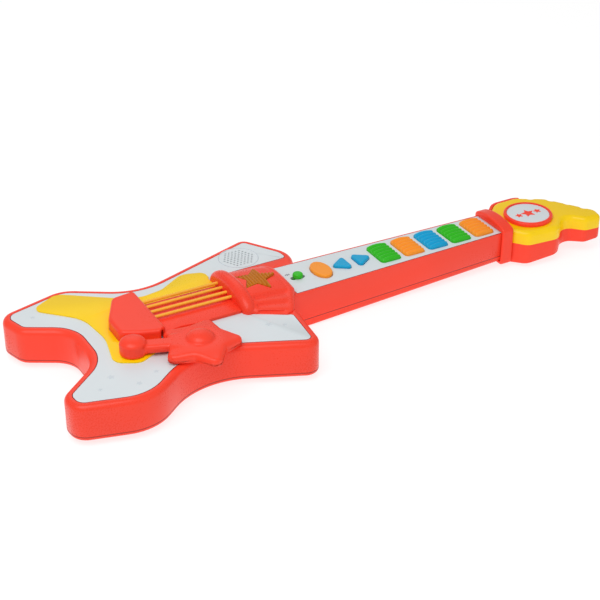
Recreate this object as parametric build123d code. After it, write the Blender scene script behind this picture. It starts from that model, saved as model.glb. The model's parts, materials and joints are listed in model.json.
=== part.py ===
from build123d import *
import math
import os

# Toy electric guitar lying on its back.
#
# Frame: +X along the neck towards the head, +Y across the body away from the player's lap,
# +Z up out of the face. The origin is on the back's rest plane, on the neck's centre line,
# where the neck leaves the joint cover. Millimetres.

os.makedirs("parts", exist_ok=True)

# ---------------------------------------------------------------- driving sizes
BODY_DEPTH = 28.0        # the body's side, from its lower edge to the face
EDGE_LOW = 3.5           # the body's edge stands this far above the rest plane
PLATEAU_IN = 12.0        # the raised middle of the back stays this far inside the outline
PARTING = 7.0            # height of the body's seam between back and front shell
NECK_SEAM_RISE = 4.0     # the neck's seam lifts this much on its way to the nut
WALL = 2.4               # side walls of the shells
SKIN = 2.2               # back shell floor
DECK = 2.0               # front shell deck under the face panel
RIM = 5.5                # red rim around the face panel
RIM_ROUND = 4.4          # top edge of the body
FOOT_ROUND = 3.0         # bottom edge of the body
PANEL_THICK = 1.6
GUARD_THICK = 0.9
SEAT_GAP = 0.15          # gap around a plate in its recess

NECK_START = -12.0       # neck's buried end inside the body
NUT_X = 193.0            # neck shells end here, under the nut collar
NECK_WIDTH_ROOT = 44.4   # at x = 0
NECK_ROOT_Y = -2.2       # the neck's middle at x = 0; it meets y = 0 at the nut
NECK_WIDTH_NUT = 35.4    # at NUT_X
NECK_FLAT = 12.0         # the neck's underside stays flat as far as here
NECK_RISE = 6.0          # then it lifts this much on its way to the nut
NECK_EDGE = 0.8          # red edge beside the fingerboard panel
NECK_ROUND = 2.6         # bottom edges of the neck
FINGER_THICK = 1.8

KEY_COUNT = 5
KEY_PITCH = 22.0
KEY_FIRST_X = 88.0
KEY_WIDTH = 17.8         # along the neck
KEY_LENGTH = 26.2        # across the neck
KEY_PROUD = 3.4
KEY_ROUND = 3.0
KEY_CROWN = 1.4
RIDGE_COUNT = 6
RIDGE_DEEP = 0.7
RIDGE_GROOVE = 1.0       # width of the grooves between the ridges
RIDGE_END = 2.5          # plain ends of a key, beyond the outermost grooves
RIDGE_SIDE = 1.8         # the grooves stop this far from the key's sides
BUTTON_PROUD = 2.4
BUTTON_CROWN = 1.1
BUTTON_GAP = 0.35        # around a key or button in its window
BUTTON_TRAVEL = 1.5
FLANGE = 0.9             # key flange beyond its window
FLANGE_THICK = 1.4
FLANGE_GAP = 0.15        # flange below the panel at rest

OVAL_X = 31.5
OVAL_ALONG = 15.0
OVAL_ACROSS = 24.0
ARROW_TIP_X = 41.0
ARROW_BASE_X = 55.0
ARROW_HALF = 9.6
ARROW_ROUND = 2.2
ARROW_SPACE = 6.8        # between the two arrow buttons
SLIDER_X = 11.0
SLIDER_Y = -2.0
SLIDER_TRAVEL = 3.5      # each way from the middle position
SLIDER_R = 4.0
SLIDER_PROUD = 3.8
SLIDER_NECK_R = 2.2
SLOT_GAP = 0.3           # around the knob's neck in its slot
SWITCH_TALL = 5.7

BOARD_THICK = 1.6
MAT_THICK = 1.0
MAT_DOME_R = 4.0
BOARD_HALF = 13.6
BOARD_START = 24.0
BOARD_END = 180.0
NECK_POSTS = [30.0, 76.0, 121.0, 166.0]
NECK_POST_R = 3.0

STRING_R = 1.2
STRING_PITCH = 7.7
STRING_HEIGHT = 5.0      # string centre above the face
STRING_COUNT = 4
STRING_START = -117.5    # buried in the bridge block
STRING_END = -47.0       # buried in the ring of the joint cover
STRING_FIT = 0.05        # around a string in its holes
BASE_THICK = 2.5         # plate under the strings
BRIDGE_TALL = 9.5
BRIDGE_ROUND = 2.6

COVER_START = -50.0
COVER_END = -2.0
COVER_CENTRE_Y = -2.5
COVER_HALF = 29.5
COVER_TALL = 12.0
COVER_WALL = 2.2
RING_LONG = 10.0
RING_PROUD = 2.0
RING_ROUND = 2.4
FLUTE_COUNT = 3
FLUTE_STEP = 11.0        # degrees of the arch between flutes, from its near foot
FLUTE_R = 1.4
FLUTE_OUT = 0.6          # the flute cutter's centre lies this far outside the dome
FLUTE_END = 4.0          # flutes stop this far from the dome's ends
SKIRT_TALL = 6.0         # of the cover's flared near side
SKIRT_ROUND = 2.4
LENS_X = -26.0
LENS_Y = -3.7
LENS_R = 17.0
LENS_TURN = 1.5          # direction of its first tip
LENS_INNER = 0.46        # inner to outer radius of the star
LENS_GAP = 0.15
LENS_PROUD = 0.5

BAR_X = -97.0            # whammy bar's pivot
BAR_Y = -58.5
SHAFT_R = 3.5
SHAFT_GAP = 0.06
BUSH_R = 5.2
STAR_TIP = 32.6          # before its tips are rounded
STAR_TIP_ROUND = 5.0
STAR_VALLEY = 20.5
STAR_VALLEY_ROUND = 6.0
STAR_TURN = 54.0         # direction of the first tip
STAR_SWEEP = 30.4        # what stands beside the star keeps out of this circle
STAR_OVER = 1.5          # its underside above the face
STAR_THICK = 7.8
STAR_ROUND = 2.8
STAR_DOME_R = 10.0
STAR_DOME_TALL = 4.6
ARM_WIDTH = 12.0
ARM_ROUND = 2.8
WIRE_R = 0.5
SPRING_LEG = 16.0
CAM_TALL = 4.8
CAM_R = 5.0
CAM_REACH = 16.0         # length of the cam's lever
BAR_BOARD_DOWN = 4.0     # below the cam
BAR_BOARD_Y = -43.5
BAR_BOARD_HALF = 12.0
KNOB_X = -141.3
KNOB_Y = -42.6
KNOB_R = 9.6
KNOB_TALL = 7.6          # to the start of its domed top
KNOB_DOME = 0.5          # height of the dome over its radius

COLLAR_START = NUT_X - 4.5
COLLAR_END = NUT_X + 6.0
COLLAR_HALF = 20.3
COLLAR_LOW = 3.0
COLLAR_CROWN = 7.0       # top of its arch above the face
COLLAR_SHOULDER = 3.0    # its sides stand straight this far above the face
COLLAR_CORNER = 3.0
COLLAR_ROUND = 1.3
COLLAR_GAP = 0.2

HEAD_START = COLLAR_END
HEAD_TIP = HEAD_START + 84.0
HEAD_LOW_START = 2.0     # the underside rises from here at the collar
HEAD_LOW_TIP = 11.0      # to here at the tip
HEAD_DOWN = 11.0         # seam below the face
HEAD_ROUND = 4.0
HEAD_SEAT_DOWN = 6.5     # the head screws' seats below its seam
LIP_THICK = 2.2          # red lip around the head's far shoulder
LIP_DOWN = 1.6           # its top below the face
LIP_START = HEAD_START + 5.0
LIP_END = HEAD_START + 41.0
HEAD_WALL = 2.2
HEAD_TONGUE_HALF = 17.2
HEAD_FOOT = 1.5          # rounding of the underside's edge
TONGUE_START = NUT_X + 0.3
TONGUE_LOW = 6.4
TONGUE_END = HEAD_START + 4.0
BADGE_X = HEAD_START + 26.0
BADGE_Y = -3.2
BADGE_R = 20.0
BADGE_DISC_R = 17.5
BADGE_TALL = 3.6
BADGE_STEP = 0.8         # disc below the ring's top

SPEAKER_X = -15.0
SPEAKER_Y = 47.0
SPEAKER_R = 15.5
SPEAKER_RIM = 1.4
SPEAKER_DEEP = 7.0
MAGNET_R = 8.0
MAGNET_TALL = 5.0
GRILLE_R = 12.5
GRILLE_HOLE_R = 0.8
GRILLE_PITCH = 3.0

CELL_R = 7.2
CELL_LONG = 50.0
CELL_GAP = 0.8           # between two cells
CELL_PITCH = 2 * CELL_R + CELL_GAP
CELL_COUNT = 3
BOX_X = -72.0            # centre of the battery box
BOX_Y = -3.0
BOX_WALL = 1.8
DOOR_LEDGE = 2.0
DOOR_THICK = 2.0
CONTACT_SPACE = 2.4      # each end of the cells
CELL_SLACK = 1.0         # sideways room for all the cells
CELL_CLEAR = 0.5         # between the door and the cells
DOOR_TAB_R = 4.6
DOOR_TAB_OUT = 5.0       # the door screw stands this far outside the box

MAIN_START = -162.0      # main circuit board
MAIN_END = -112.0
MAIN_HALF = 24.0
MAIN_LOW = 13.0
MAIN_POST_IN = 4.0
CHIP_X = -140.0
CHIP_R = 6.0
CHIP_TALL = 2.1

SCREW_R = 1.3
SCREW_LONG = 11.0
SCREW_HEAD_R = 2.7
SCREW_HEAD = 1.8
SCREW_SEAT = 9.0         # height of the case screws' seats above the rest plane
BOSS_R = 4.2
POST_R = 3.8
BOSS_OVER = 3.0          # the back's bosses rise this far above the screws' seats

# Body outline: corner x, y and its radius, anticlockwise from the neck's far side
BODY_CORNERS = [
    (21.0, 14.0, 0.0), (19.0, 20.0, 3.0), (27.0, 36.0, 22.0), (2.0, 75.0, 9.0),
    (-103.9, 38.3, 46.0), (-153.6, 68.2, 25.0), (-210.0, 52.0, 13.0), (-201.5, 24.5, 13.0),
    (-169.2, 6.5, 22.0), (-168.6, -37.0, 30.0), (-204.0, -67.5, 13.0), (-202.0, -86.0, 13.0),
    (-149.4, -99.5, 38.0), (-98.3, -58.6, 59.0), (-16.5, -94.0, 10.0), (-9.5, -24.0, 5.0),
    (-3.0, -14.0, 0.0),
]
# Red heel of the neck joint, which the face panel leaves free
HEEL_CORNERS = [
    (-46.0, 29.0, 3.0), (40.0, 30.5, 0.0), (40.0, -47.0, 0.0), (-21.0, -47.0, 6.0),
    (-46.0, -31.5, 3.0),
]
PANEL_EASE = 3.2         # rounding of the panel's outer corners
# Foot of the cover's flared near side
SKIRT_CORNERS = [
    (-43.0, -12.0, 0.0), (-43.0, -32.5, 2.0), (-21.5, -46.0, 7.0), (-2.0, -25.0, 6.0),
    (-2.0, -12.0, 0.0),
]
GUARD_CORNERS = [
    (-184.0, 47.0, 6.0), (-160.0, 60.5, 10.0), (-125.0, 35.0, 20.0), (-105.0, 26.0, 14.0),
    (-88.0, 29.0, 12.0), (-66.0, 43.0, 12.0), (-49.0, 38.0, 6.0), (-49.0, -20.0, 2.0),
    (-118.0, -44.0, 10.0), (-141.0, -56.0, 8.0), (-158.0, -47.0, 9.0), (-151.0, -15.0, 40.0),
    (-155.0, 18.0, 30.0),
]
BASE_CORNERS = [
    (-116.0, 12.5, 1.0), (-46.0, 12.5, 1.0), (-46.0, -29.0, 2.0), (-74.0, -29.0, 5.0),
    (-90.0, -34.0, 5.0), (-116.0, -34.0, 1.0),
]
BRIDGE_CORNERS = [
    (-112.0, 25.0, 3.0), (-130.5, 22.5, 6.0), (-144.0, -4.0, 14.0), (-144.0, -25.0, 5.0),
    (-131.0, -32.0, 5.0), (-112.0, -38.5, 4.0),
]
# Head outline, valleys and screws, with x from HEAD_START
HEAD_CORNERS = [
    (0.0, 17.0, 2.0), (7.0, 22.0, 4.0), (16.0, 30.5, 12.0), (37.0, 31.0, 10.0),
    (59.0, 18.0, 20.0), (83.5, -19.0, 8.0), (81.0, -30.5, 5.0), (66.0, -29.5, 7.0),
    (52.0, -15.5, 9.0), (38.0, -30.5, 11.0), (9.0, -28.5, 10.0), (0.0, -17.0, 2.0),
]
SCALLOP_R = 3.2
SCALLOPS = [(49.5, 26.0), (63.5, 14.5), (72.0, 2.8), (79.5, -9.5)]
SCALLOP_EASE = 1.8       # rounding between a valley and the edge

CASE_SCREWS = [
    (-188.0, 42.0), (-186.0, -74.0), (-140.0, 40.0), (-140.0, -78.0), (-38.0, -70.0),
    (-62.0, 42.0), (10.0, 46.0), (-8.0, -12.0),
]
HEAD_SCREWS = [(13.0, 12.0), (14.0, -14.0), (63.0, -14.0)]
HEAD_CORNERS = [(HEAD_START + x, y, r) for x, y, r in HEAD_CORNERS]
SCALLOPS = [(HEAD_START + x, y) for x, y in SCALLOPS]
HEAD_SCREWS = [(HEAD_START + x, y) for x, y in HEAD_SCREWS]

# ---------------------------------------------------------------- derived heights
FACE = EDGE_LOW + BODY_DEPTH
PANEL_LOW = FACE - PANEL_THICK
DECK_LOW = PANEL_LOW - DECK
FINGER_LOW = FACE - FINGER_THICK
FLANGE_TOP = FINGER_LOW - FLANGE_GAP
FLANGE_LOW = FLANGE_TOP - FLANGE_THICK
MAT_TOP = FLANGE_LOW - BUTTON_TRAVEL - 0.2
MAT_LOW = MAT_TOP - 2.0
BOARD_TOP = MAT_LOW
BOARD_LOW = BOARD_TOP - BOARD_THICK
STAR_LOW = FACE + STAR_OVER
BUSH_TOP = STAR_LOW - 0.2
CAM_HIGH = DECK_LOW - 4.6
CAM_LOW = CAM_HIGH - CAM_TALL
BAR_BOARD_LOW = CAM_LOW - BAR_BOARD_DOWN
HEAD_SEAM = FACE - HEAD_DOWN
HEAD_SEAT = HEAD_SEAM - HEAD_SEAT_DOWN
SWITCH_LOW = FLANGE_LOW - 0.3 - SWITCH_TALL
SPEAKER_TOP = DECK_LOW - 0.1
BASKET_LOW = SPEAKER_TOP - SPEAKER_RIM - SPEAKER_DEEP
BOX_LONG = CELL_LONG + 2 * CONTACT_SPACE
BOX_WIDE = CELL_PITCH * CELL_COUNT + CELL_SLACK
BOX_TOP = DOOR_THICK + CELL_CLEAR + 2 * CELL_R + 0.7
CELL_AXIS = DOOR_THICK + CELL_CLEAR + CELL_R
DOOR_SCREW_X = BOX_X - BOX_LONG / 2 - DOOR_TAB_OUT
KEY_XS = [KEY_FIRST_X + i * KEY_PITCH for i in range(KEY_COUNT)]
STRING_YS = [(i - (STRING_COUNT - 1) / 2) * STRING_PITCH for i in range(STRING_COUNT)]


# ---------------------------------------------------------------- helpers
def rounded(corners):
    """Face of a polygon whose corners have their own radii."""
    points = [(x, y) for x, y, _ in corners]
    radii = [r for _, _, r in corners]
    return make_face(FilletPolyline(*points, radius=radii, close=True))


def slab(face, low, high):
    """Solid standing on the face's outline between two heights."""
    return extrude(Pos(0, 0, low) * face, high - low)


def grown(face, amount):
    """The face with its outline moved out, or in when the amount is negative."""
    return offset(face, amount, kind=Kind.ARC)


def rod(x, y, radius, low, high):
    """Upright cylinder between two heights."""
    return Pos(x, y, (low + high) / 2) * Cylinder(radius, high - low)


def block(x0, x1, y0, y1, z0, z1):
    """Box between two corners."""
    return Pos((x0 + x1) / 2, (y0 + y1) / 2, (z0 + z1) / 2) * Box(x1 - x0, y1 - y0, z1 - z0)


def edges_at(solid, height, tolerance=0.01):
    """Edges that lie flat at a height."""
    return [e for e in solid.edges()
            if abs(e.bounding_box().min.Z - height) < tolerance
            and abs(e.bounding_box().max.Z - height) < tolerance]


def edges_in_plane(solid, x, tolerance=0.01):
    """Edges that lie in an upright plane across the neck."""
    return [e for e in solid.edges()
            if abs(e.bounding_box().min.X - x) < tolerance
            and abs(e.bounding_box().max.X - x) < tolerance]


def save(shape, node):
    """Write one sub-part."""
    export_step(shape, f"parts/{node}.step")


def neck_half(x):
    """Half the neck's width at x."""
    share = x / NUT_X
    return (NECK_WIDTH_ROOT + (NECK_WIDTH_NUT - NECK_WIDTH_ROOT) * share) / 2


def neck_mid(x):
    """The neck's middle line at x."""
    return NECK_ROOT_Y * (1 - x / NUT_X)


def neck_floor(x):
    """Height of the neck's underside at x."""
    return NECK_RISE * max(x - NECK_FLAT, 0.0) / (NUT_X - NECK_FLAT)


def neck_plan(start, end, inset=0.0):
    """Tapered strip of the neck in plan."""
    a = neck_half(start) - inset
    b = neck_half(end) - inset
    m = neck_mid(start)
    n = neck_mid(end)
    points = [(start, m - a), (end, n - b), (end, n + b), (start, m + a)]
    return make_face(Polyline(*points, close=True))


def eased_corners(face, radius):
    """The face with its outward corners rounded."""
    return grown(grown(face, -radius), radius)


def neck_side(lift, top):
    """Neck's side profile, as a slab across the whole width."""
    end_floor = neck_floor(NUT_X) + lift
    points = [(NECK_START, lift), (NECK_FLAT, lift), (NUT_X, end_floor), (NUT_X, top),
              (NECK_START, top)]
    face = make_face(Polyline(*points, close=True))
    return extrude(Plane.XZ * face, NECK_WIDTH_ROOT, both=True)


def star(tip, valley, turn, tip_round, valley_round):
    """Five-pointed star about the origin."""
    corners = []
    for i in range(10):
        radius = tip if i % 2 == 0 else valley
        angle = math.radians(turn + 36 * i)
        corner_round = tip_round if i % 2 == 0 else valley_round
        corners.append((radius * math.cos(angle), radius * math.sin(angle), corner_round))
    return rounded(corners)


def arch(half, tall, start, end):
    """Half-elliptic arch along X, standing on the face."""
    face = make_face([
        EllipticalCenterArc((0, 0), half, tall, start_angle=0, arc_size=180),
        Line((-half, 0), (half, 0)),
    ])
    place = Plane(origin=(start, COVER_CENTRE_Y, FACE), x_dir=(0, 1, 0), z_dir=(1, 0, 0))
    return extrude(place * face, end - start)


# ---------------------------------------------------------------- outlines
body_face = rounded(BODY_CORNERS)
heel_face = rounded(HEEL_CORNERS)
panel_recess_face = eased_corners(grown(body_face, -RIM) - heel_face, PANEL_EASE)
panel_face = grown(panel_recess_face, -SEAT_GAP)
plateau_face = eased_corners(grown(body_face, -PLATEAU_IN), PLATEAU_IN)
guard_face = rounded(GUARD_CORNERS)


# ---------------------------------------------------------------- shells
def make_outer():
    """Body and neck as one closed block, with its rounded edges."""
    body = slab(body_face, EDGE_LOW, FACE)
    body = fillet(edges_at(body, FACE), RIM_ROUND)
    body = fillet(edges_at(body, EDGE_LOW), FOOT_ROUND)
    body += slab(plateau_face, 0, EDGE_LOW + 1)
    body = fillet(edges_at(body, 0), EDGE_LOW / 2)
    neck = slab(neck_plan(NECK_START, NUT_X), -1, FACE)
    neck = neck & neck_side(0, FACE)
    low = [e for e in neck.edges()
           if e.length > NUT_X * 0.5 and e.center().Z < PARTING and abs(e.center().Y) > 5]
    neck = fillet(low, NECK_ROUND)
    return body + neck


def make_cavity():
    """Room inside the shells."""
    body = slab(grown(body_face, -WALL), EDGE_LOW + SKIN, DECK_LOW)
    body += slab(grown(plateau_face, -WALL), SKIN, EDGE_LOW + SKIN + 1)
    neck = slab(neck_plan(NECK_START, NUT_X, WALL), 0, FACE)
    neck = neck & neck_side(SKIN, DECK_LOW)
    return body + neck


outer = make_outer()
cavity = make_cavity()


def box_block(grow, low, high):
    """Block about the battery box's room, grown sideways."""
    return block(BOX_X - BOX_LONG / 2 - grow, BOX_X + BOX_LONG / 2 + grow,
                 BOX_Y - BOX_WIDE / 2 - grow, BOX_Y + BOX_WIDE / 2 + grow, low, high)


def door_tab(gap, low, high):
    """Lug at the door's screw end."""
    half = DOOR_TAB_R + gap
    root = block(DOOR_SCREW_X, BOX_X - BOX_LONG / 2, BOX_Y - half, BOX_Y + half, low, high)
    return root + rod(DOOR_SCREW_X, BOX_Y, half, low, high)


def below_seam():
    """Everything under the seam, which is level in the body and lifts along the neck."""
    nut = PARTING + NECK_SEAM_RISE
    points = [(-230, -1), (NUT_X, -1), (NUT_X, nut), (0, PARTING), (-230, PARTING)]
    return extrude(Plane.XZ * make_face(Polyline(*points, close=True)), 120, both=True)


def make_back_shell():
    """Back of the body and neck with the battery box and the screw bosses."""
    shell = (outer & below_seam()) - cavity
    shell += box_block(BOX_WALL, 0.5, BOX_TOP + BOX_WALL)
    shell += rod(DOOR_SCREW_X, BOX_Y, DOOR_TAB_R + BOX_WALL, 0.5, PARTING + 2)
    pillars = [rod(x, y, BOSS_R, 0, SCREW_SEAT + BOSS_OVER) for x, y in CASE_SCREWS]
    pillars += [rod(x, 0, NECK_POST_R, 0, BOARD_LOW) for x in NECK_POSTS]
    for x in (MAIN_START + MAIN_POST_IN, MAIN_END - MAIN_POST_IN):
        for y in (-MAIN_HALF + MAIN_POST_IN, MAIN_HALF - MAIN_POST_IN):
            pillars.append(rod(x, y, NECK_POST_R, 0, MAIN_LOW))
    for x in (BAR_X - BAR_BOARD_HALF + 3, BAR_X + BAR_BOARD_HALF - 3):
        pillars.append(rod(x, BAR_BOARD_Y, 2.2, 0, BAR_BOARD_LOW))
    for pillar in pillars:
        shell += pillar & outer
    shell -= box_block(0, DOOR_THICK, BOX_TOP)
    shell -= box_block(DOOR_LEDGE, -1, DOOR_THICK + 0.2)
    shell -= door_tab(0.3, -1, DOOR_THICK + 0.2)
    shell -= rod(DOOR_SCREW_X, BOX_Y, SCREW_R, 0, PARTING + 1)
    for x, y in CASE_SCREWS:
        shell -= rod(x, y, SCREW_HEAD_R + 0.4, -1, SCREW_SEAT)
        shell -= rod(x, y, SCREW_R + 0.2, -1, SCREW_SEAT + BOSS_OVER + 1)
    return shell


def make_front_shell():
    """Front of the body and neck with the panel recess and the screw posts."""
    shell = (outer - below_seam()) - cavity
    shell -= slab(panel_recess_face, PANEL_LOW, FACE + 1)
    for x, y in CASE_SCREWS:
        shell += rod(x, y, POST_R, SCREW_SEAT + BOSS_OVER + 0.2, DECK_LOW + 0.5)
    shell += rod(BAR_X, BAR_Y, BUSH_R, DECK_LOW - 4.0, BUSH_TOP)
    shell -= slab(neck_plan(COVER_END + 1, NUT_X + 1, NECK_EDGE), FINGER_LOW, FACE + 1)
    shell -= slab(neck_plan(COVER_END + 3, NUT_X - 5, WALL), DECK_LOW - 1, FACE)
    shell -= rod(SPEAKER_X, SPEAKER_Y, GRILLE_R + 0.8, DECK_LOW - 1, PANEL_LOW + 1)
    shell -= rod(LENS_X, LENS_Y, 7.0, DECK_LOW - 1, FACE + 1)
    shell -= rod(BAR_X, BAR_Y, SHAFT_R + SHAFT_GAP, 0, BUSH_TOP + 1)
    for x, y in CASE_SCREWS:
        shell -= rod(x, y, SCREW_R, 0, DECK_LOW - 2)
    return shell


# ---------------------------------------------------------------- plates on the face
def make_face_panel():
    """White plate on the body with the speaker grille."""
    plate = slab(panel_face, PANEL_LOW, FACE)
    plate -= rod(BAR_X, BAR_Y, BUSH_R + 0.4, 0, FACE + 1)
    holes = []
    rows = int(GRILLE_R / GRILLE_PITCH)
    for i in range(-rows, rows + 1):
        for j in range(-rows, rows + 1):
            x = (i + 0.5 * (j % 2)) * GRILLE_PITCH
            y = j * GRILLE_PITCH * 0.88
            if math.hypot(x, y) < GRILLE_R:
                holes.append(rod(SPEAKER_X + x, SPEAKER_Y + y, GRILLE_HOLE_R, 0, FACE + 1))
    return plate - holes


def make_pickguard():
    """Yellow plate lying on the face panel."""
    plate = slab(guard_face, FACE, FACE + GUARD_THICK)
    plate -= slab(grown(rounded(BRIDGE_CORNERS), SEAT_GAP), 0, FACE + 5)
    plate -= slab(grown(rounded(BASE_CORNERS), SEAT_GAP), 0, FACE + 5)
    plate -= arch(COVER_HALF + RING_PROUD + SEAT_GAP, COVER_TALL, COVER_START - SEAT_GAP, COVER_END)
    plate -= rod(BAR_X, BAR_Y, BUSH_R + 0.4, 0, FACE + 5)
    return plate


def make_bridge():
    """Block that the strings leave."""
    face = rounded(BRIDGE_CORNERS)
    body = slab(face, FACE, FACE + BRIDGE_TALL)
    body = fillet(edges_at(body, FACE + BRIDGE_TALL), BRIDGE_ROUND)
    body -= slab(grown(face, -WALL), FACE - 1, FACE + BRIDGE_TALL - WALL)
    body -= rod(BAR_X, BAR_Y, STAR_SWEEP, FACE + 0.5, FACE + BRIDGE_TALL + 1)
    for y in STRING_YS:
        hole = Rot(0, 90, 0) * Cylinder(STRING_R + STRING_FIT, 12)
        body -= Pos(STRING_START + 2.5, y, FACE + STRING_HEIGHT) * hole
    return body


def make_string_base():
    """Plate under the strings."""
    plate = slab(rounded(BASE_CORNERS), FACE, FACE + BASE_THICK)
    plate -= slab(grown(rounded(BRIDGE_CORNERS), SEAT_GAP), 0, FACE + 20)
    plate -= arch(COVER_HALF + RING_PROUD + SEAT_GAP, COVER_TALL + RING_PROUD + SEAT_GAP,
                  COVER_START - SEAT_GAP, COVER_END)
    return plate - rod(BAR_X, BAR_Y, STAR_SWEEP, FACE + STAR_OVER - 0.4, FACE + 5)


def make_string(y):
    """One straight string between the bridge and the ring."""
    length = STRING_END - STRING_START
    turn = Rot(0, 90, 0) * Cylinder(STRING_R, length)
    return Pos((STRING_START + STRING_END) / 2, y, FACE + STRING_HEIGHT) * turn


def make_joint_cover():
    """Fluted dome over the neck joint with its raised ring."""
    dome = arch(COVER_HALF, COVER_TALL, COVER_START + RING_LONG / 2, COVER_END)
    end = [e for e in dome.edges().filter_by(GeomType.ELLIPSE) if e.center().X > COVER_END - 1]
    dome = fillet(end, RING_ROUND)
    ring = arch(COVER_HALF + RING_PROUD, COVER_TALL + RING_PROUD, COVER_START,
                COVER_START + RING_LONG)
    ring = fillet(ring.edges().filter_by(GeomType.ELLIPSE), RING_ROUND)
    skirt = slab(rounded(SKIRT_CORNERS), FACE, FACE + SKIRT_TALL)
    skirt = fillet(edges_at(skirt, FACE + SKIRT_TALL), SKIRT_ROUND)
    cover = dome + skirt + ring
    flute_long = COVER_END - COVER_START - RING_LONG - 2 * FLUTE_END
    for i in range(1, FLUTE_COUNT + 1):
        angle = math.radians(FLUTE_STEP * i)
        y = COVER_CENTRE_Y - (COVER_HALF + FLUTE_OUT) * math.cos(angle)
        z = FACE + (COVER_TALL + FLUTE_OUT) * math.sin(angle)
        flute = Rot(0, 90, 0) * Cylinder(FLUTE_R, flute_long)
        cover -= Pos((COVER_END + COVER_START + RING_LONG) / 2, y, z) * flute
    cover -= arch(COVER_HALF - COVER_WALL, COVER_TALL - COVER_WALL, COVER_START + COVER_WALL,
                  COVER_END - COVER_WALL)
    window = Pos(LENS_X, LENS_Y, 0) * star(LENS_R, LENS_R * LENS_INNER, LENS_TURN, 1.2, 1.2)
    cover -= slab(window, FACE + 2, FACE + COVER_TALL + 5)
    for y in STRING_YS:
        hole = Rot(0, 90, 0) * Cylinder(STRING_R + STRING_FIT, 12)
        cover -= Pos(COVER_START, y, FACE + STRING_HEIGHT) * hole
    return cover


def make_star_lens():
    """Ribbed star that follows the dome."""
    plan = Pos(LENS_X, LENS_Y, 0) * star(LENS_R - LENS_GAP, (LENS_R - LENS_GAP) * LENS_INNER,
                                         LENS_TURN, 1.2, 1.2)
    prism = slab(plan, FACE + 2, FACE + COVER_TALL + 5)
    skin = arch(COVER_HALF + LENS_PROUD, COVER_TALL + LENS_PROUD, COVER_START, COVER_END)
    room = arch(COVER_HALF - COVER_WALL, COVER_TALL - COVER_WALL, COVER_START, COVER_END)
    return (prism & skin) - room


# ---------------------------------------------------------------- whammy bar
def make_whammy_bar():
    """Star, arm and knob in one moulding, with the shaft that turns in the front shell."""
    plan = star(STAR_TIP, STAR_VALLEY, STAR_TURN, STAR_TIP_ROUND, STAR_VALLEY_ROUND)
    plate = slab(Pos(BAR_X, BAR_Y, 0) * plan, STAR_LOW, STAR_LOW + STAR_THICK)
    plate = fillet(edges_at(plate, STAR_LOW + STAR_THICK), STAR_ROUND)
    dome = Pos(BAR_X, BAR_Y, STAR_LOW + STAR_THICK) * scale(Sphere(STAR_DOME_R),
                                                            by=(1, 1, STAR_DOME_TALL / STAR_DOME_R))
    dome = dome & rod(BAR_X, BAR_Y, STAR_DOME_R + 1, STAR_LOW + STAR_THICK - 1, 60)
    run = math.hypot(KNOB_X - BAR_X, KNOB_Y - BAR_Y)
    turn = math.degrees(math.atan2(KNOB_Y - BAR_Y, KNOB_X - BAR_X))
    arm = Box(run - 8, ARM_WIDTH, STAR_THICK - 1)
    arm = fillet(arm.edges().filter_by(Axis.X), ARM_ROUND)
    arm = Pos(BAR_X, BAR_Y, STAR_LOW + STAR_THICK / 2) * Rot(0, 0, turn) * Pos(run / 2, 0, 0) * arm
    knob = rod(KNOB_X, KNOB_Y, KNOB_R, STAR_LOW, STAR_LOW + KNOB_TALL)
    cap = Pos(KNOB_X, KNOB_Y, STAR_LOW + KNOB_TALL) * scale(Sphere(KNOB_R), by=(1, 1, KNOB_DOME))
    shaft = rod(BAR_X, BAR_Y, SHAFT_R, CAM_HIGH - 3.5, STAR_LOW + 2)
    bar = plate + dome + arm + knob + cap + shaft
    return bar - rod(BAR_X, BAR_Y, SCREW_R, CAM_LOW, CAM_HIGH + 8)


def make_whammy_cam():
    """Lever under the deck that works the two switches."""
    hub = rod(BAR_X, BAR_Y, CAM_R, CAM_LOW, CAM_HIGH)
    arm = block(BAR_X - 2.4, BAR_X + 2.4, BAR_Y, BAR_Y + CAM_REACH, CAM_LOW, CAM_HIGH)
    cam = hub + arm
    cam -= rod(BAR_X, BAR_Y, SHAFT_R, CAM_HIGH - 3.5, CAM_HIGH + 1)
    return cam - rod(BAR_X, BAR_Y, SCREW_R, 0, CAM_HIGH + 1)


def make_whammy_screw():
    """Screw from below into the bar's shaft."""
    head = rod(BAR_X, BAR_Y, SCREW_HEAD_R, CAM_LOW - SCREW_HEAD, CAM_LOW)
    return head + rod(BAR_X, BAR_Y, SCREW_R, CAM_LOW, CAM_HIGH + 7)


def make_whammy_spring():
    """Hairpin of spring wire around the bush, with a leg each side of the cam's arm."""
    bend = BUSH_R + WIRE_R + 0.3
    path = Line((bend, SPRING_LEG), (bend, 0)) + RadiusArc((bend, 0), (-bend, 0), bend)
    path += Line((-bend, 0), (-bend, SPRING_LEG))
    start = Plane(origin=(bend, SPRING_LEG, 0), z_dir=(0, -1, 0))
    wire = sweep(start * Circle(WIRE_R), path=path)
    return Pos(BAR_X, BAR_Y, DECK_LOW - 2.2) * wire


def make_bar_board():
    """Small circuit board under the cam."""
    return block(BAR_X - BAR_BOARD_HALF, BAR_X + BAR_BOARD_HALF, BAR_BOARD_Y - 5,
                 BAR_BOARD_Y + 5, BAR_BOARD_LOW, BAR_BOARD_LOW + BOARD_THICK)


def make_bar_switches():
    """Two switches, one each side of the cam."""
    low = BAR_BOARD_LOW + BOARD_THICK
    pair = []
    for side in (-1, 1):
        pair.append(Pos(BAR_X + side * 8.0, BAR_BOARD_Y, low + 3.2) * Box(5.0, 6.0, 6.4))
    return Compound(pair)


# ---------------------------------------------------------------- neck parts
def key_face(x, grow=0.0):
    """Outline of a key."""
    face = RectangleRounded(KEY_WIDTH + 2 * grow, KEY_LENGTH + 2 * grow, KEY_ROUND + grow)
    return Pos(x, neck_mid(x), 0) * face


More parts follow.
